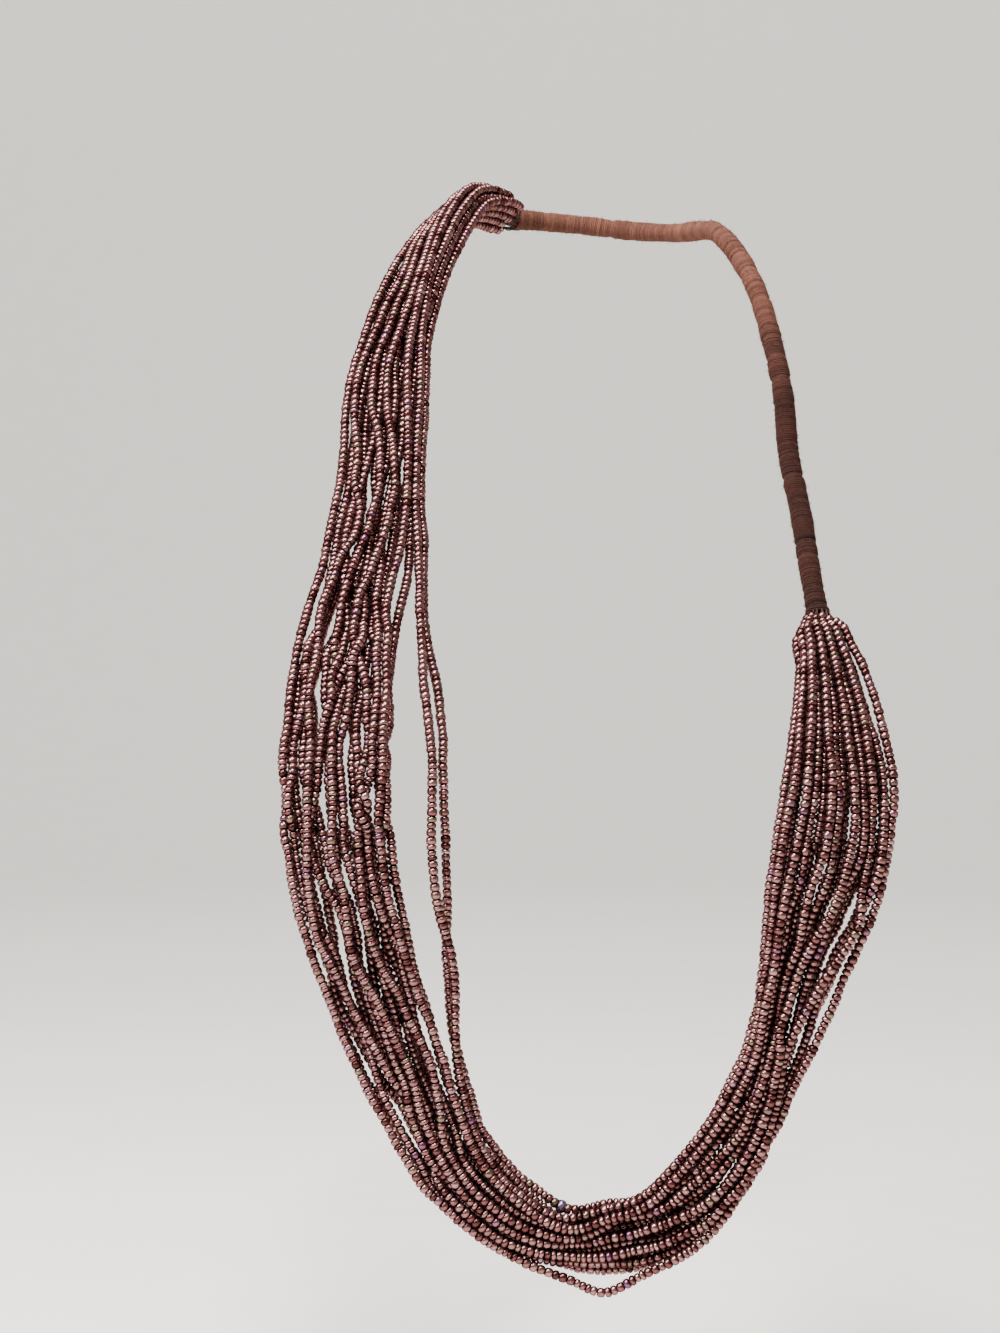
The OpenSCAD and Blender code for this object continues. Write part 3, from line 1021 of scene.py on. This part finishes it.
# Strands on the bundle's outline, which keep closer to the CAD's lines, and the share they move
OUTLINE_STRANDS = (0, 1, 16, 17, 18, 19)
OUTLINE_SLACK = 0.45
# How much the levels swing, as pairs of a share of the length and a share of the wave: most at the bottom
SWING = [(0, 0), (0.1, 0.4), (0.2, 0.6), (0.45, 0.65), (0.58, 1), (0.72, 1), (0.86, 0.5), (1, 0)]
# One strand hangs in a loose bow at the bottom: where its middle is, its half length and its depth
BOW_X, BOW_REACH, BOW_DEPTH = 1 * MM, 14 * MM, 4.2 * MM
# A strand counts as at the bottom under this height
BOTTOM_HEIGHT = -300 * MM
# The last strand of the bundle, after which only the two strays come
INNERMOST = 17
SETTLE_ROUNDS = 40
MOST_SHIFT = 6 * MM
# Share of the way back to its swaying line that a strand takes in every round
DRAW_BACK = 0.03
# How much of a push is felt at a point of the line and at the three points on either side of it
PUSH_SPREAD = np.array([1, 3, 5, 6, 5, 3, 1]) / 11
# Keeps a division by a distance safe
TINY = 1e-9


def swayed(number, line, across):
    """A strand's line with its level's swing and its own sways, which are nothing at both ends."""
    run = run_along(line)
    slack = np.interp(run / run[-1], *zip(*SLACK))[:, None]
    swing = np.interp(run / run[-1], *zip(*SWING))[:, None]
    if number in OUTLINE_STRANDS:
        slack *= OUTLINE_SLACK
        swing *= OUTLINE_SLACK
    wave, height, start = LEVEL_SWINGS[number % len(LEVEL_SWINGS)]
    shift = swing * height * np.sin(2 * math.pi * (run / wave + start))[:, None] * across
    for wave, height in SWAYS:
        shift = shift + slack * height * np.stack([slow_noise(run, wave / 2) for _ in range(3)], axis=1)
    return line + shift


def with_bow(lines):
    """The same lines, with the lowest strand at the bow's place let down a little there."""
    lowest = min(
        range(len(lines)), key=lambda n: lines[n][np.abs(lines[n][:, 0] - BOW_X) < BOW_REACH, 2].min()
    )
    line = lines[lowest]
    bow = np.clip(1 - np.abs(line[:, 0] - BOW_X) / BOW_REACH, 0, 1) * (line[:, 2] < BOTTOM_HEIGHT)
    line[:, 2] -= BOW_DEPTH * bow * bow * (3 - 2 * bow)
    print(f"The bow is on {STRANDS[lowest]}")
    return lines


def settled(homes, swaying, apart):
    """The swaying lines after pushing each other apart wherever two are nearer than that."""
    starts = np.cumsum([0] + [len(line) for line in homes])
    owner = np.repeat(np.arange(len(homes)), [len(line) for line in homes])
    home, goal = np.concatenate(homes), np.concatenate(swaying)
    points = goal.copy()
    # The ends stay where the gatherings hold them
    firm = np.ones((len(points), 1))
    for first, after in zip(starts, starts[1:]):
        firm[first:first + 2] = firm[after - 2:after] = 0
    for _ in range(SETTLE_ROUNDS):
        tree = KDTree(len(points))
        for index, point in enumerate(points):
            tree.insert(point, index)
        tree.balance()
        push = np.zeros_like(points)
        touches = np.zeros((len(points), 1))
        for index, point in enumerate(points):
            for other_point, other, gap in tree.find_range(point, apart):
                if other > index and owner[other] != owner[index]:
                    away = (point - np.array(other_point)) / max(gap, TINY) * (apart - gap) / 2
                    push[index] += away
                    push[other] -= away
                    touches[index] += 1
                    touches[other] += 1
        push *= firm / np.maximum(touches, 1)
        # A push carries a few beads along with it
        for first, after in zip(starts, starts[1:]):
            for axis in range(3):
                push[first:after, axis] = np.convolve(push[first:after, axis], PUSH_SPREAD, "same")
        shift = points + push * firm + (goal - points) * DRAW_BACK - home
        far = np.linalg.norm(shift, axis=1, keepdims=True)
        points = home + shift * np.minimum(1, MOST_SHIFT / np.maximum(far, TINY))
    print(f"{int(touches.sum() / 2)} touches left, pushes of up to {np.abs(push).max() / MM:.2f} mm")
    return [points[first:after] for first, after in zip(starts, starts[1:])]


# The outermost and the innermost strand show the way across
across = unit(homes[0] - homes[INNERMOST])
swaying_lines = with_bow([swayed(number, line, across) for number, line in enumerate(homes)])
strand_lines = settled(homes, swaying_lines, BEAD_WIDTH)
print(f"Strands of {np.mean([run_along(line)[-1] for line in strand_lines]) / MM:.0f} mm on average")

# %% String the beads
THREAD_WIDTH = 0.7 * MM
ODD_BEAD_PLACE = np.array([-14.2, -130, -372.4]) * MM
# How far the beads stay from the cord at the back and at the front, for inner and for outer strands
BARE = [(12.5 * MM, 10.5 * MM), (5 * MM, 1.2 * MM)]
BARE_SPREAD = 1.2 * MM
# Shares by which beads differ in length and width, and how far they lean
LENGTH_UNEVENNESS, WIDTH_UNEVENNESS = 0.3, 0.1
BEAD_LEAN = math.radians(7)
ODD_BEAD_GROWTH = 1.3
# From one strand's random seed to the next
SEED_STEP = 100

odd_strand = min(
    range(len(STRANDS)), key=lambda n: np.linalg.norm(strand_lines[n] - ODD_BEAD_PLACE, axis=1).min()
)
bead_total = 0
for number, name in enumerate(STRANDS):
    line = np.concatenate([back_bends[number][::-1], strand_lines[number], front_bends[number]])
    odd_reach = 0.0
    odd_place = line[np.linalg.norm(line - ODD_BEAD_PLACE, axis=1).argmin()]
    if number == odd_strand:
        odd_reach = 0.5 * BEAD_LENGTH
    bare_thread_and_painted_shade = [
        outer + (1 - outness[number]) * (inner - outer) + rng.uniform(0, 1) * BARE_SPREAD
        for (inner, outer), outness in zip(BARE, (back_outness, front_outness))
    ]
    strand = grown("beads_" + name, [line], stringing, {
        "Bead": bead_shape, "Bead Length": BEAD_LENGTH, "Bead Width": BEAD_WIDTH,
        "Length Unevenness": LENGTH_UNEVENNESS, "Width Unevenness": WIDTH_UNEVENNESS, "Lean": BEAD_LEAN,
        "Bare Start": bare_thread_and_painted_shade[0], "Bare End": bare_thread_and_painted_shade[1], "Odd Bead Place": tuple(odd_place),
        "Odd Bead Reach": odd_reach, "Odd Bead Growth": ODD_BEAD_GROWTH,
        "Thread Width": THREAD_WIDTH, "Seed": SEED_STEP * number,
        "Bead Finish": bead_finish, "Thread Finish": thread_finish,
    })
    hand_over(strand, "beads", name)
    bead_total += round((run_along(line)[-1] - sum(bare_thread_and_painted_shade)) / BEAD_LENGTH)
bpy.data.objects.remove(bead_shape)
print(f"About {bead_total} beads on {len(STRANDS)} strands")

# %% [markdown]
# ## The gatherings
# Each strand was strung on doubled thread, so more threads than strands come together in a gathering.
# Two extra ones go with every strand, each bowed a little its own way.

# %% Fan the threads
FAN_THREAD_WIDTH = 0.55 * MM
FAN_BOW = 0.7 * MM
FAN_OVERLAP = 3
THREADS_BESIDE = 2


def fan(name, bends, lines_there, node_name):
    """Two bowed threads beside each strand, from its first beads into the cord."""
    lines = []
    for bend, near in zip(bends, lines_there):
        whole = np.concatenate([near, bend])
        bow = np.sin(np.linspace(0, math.pi, len(whole)))[:, None]
        for _ in range(THREADS_BESIDE):
            lines.append(whole + bow * rng.uniform(-1, 1, 3) * FAN_BOW)
    threads_piece = grown(
        name, lines, yarn, {"Width": FAN_THREAD_WIDTH, "Sides": THREAD_SIDES, "Finish": thread_finish}
    )
    hand_over(threads_piece, "thread", node_name)


fan("front_gathered_threads", front_bends, [line[-FAN_OVERLAP:] for line in strand_lines], "gather_front")
fan("back_gathered_threads", back_bends, [line[:FAN_OVERLAP][::-1] for line in strand_lines], "gather_back")
print(f"{2 * THREADS_BESIDE * len(STRANDS)} threads in the gatherings")
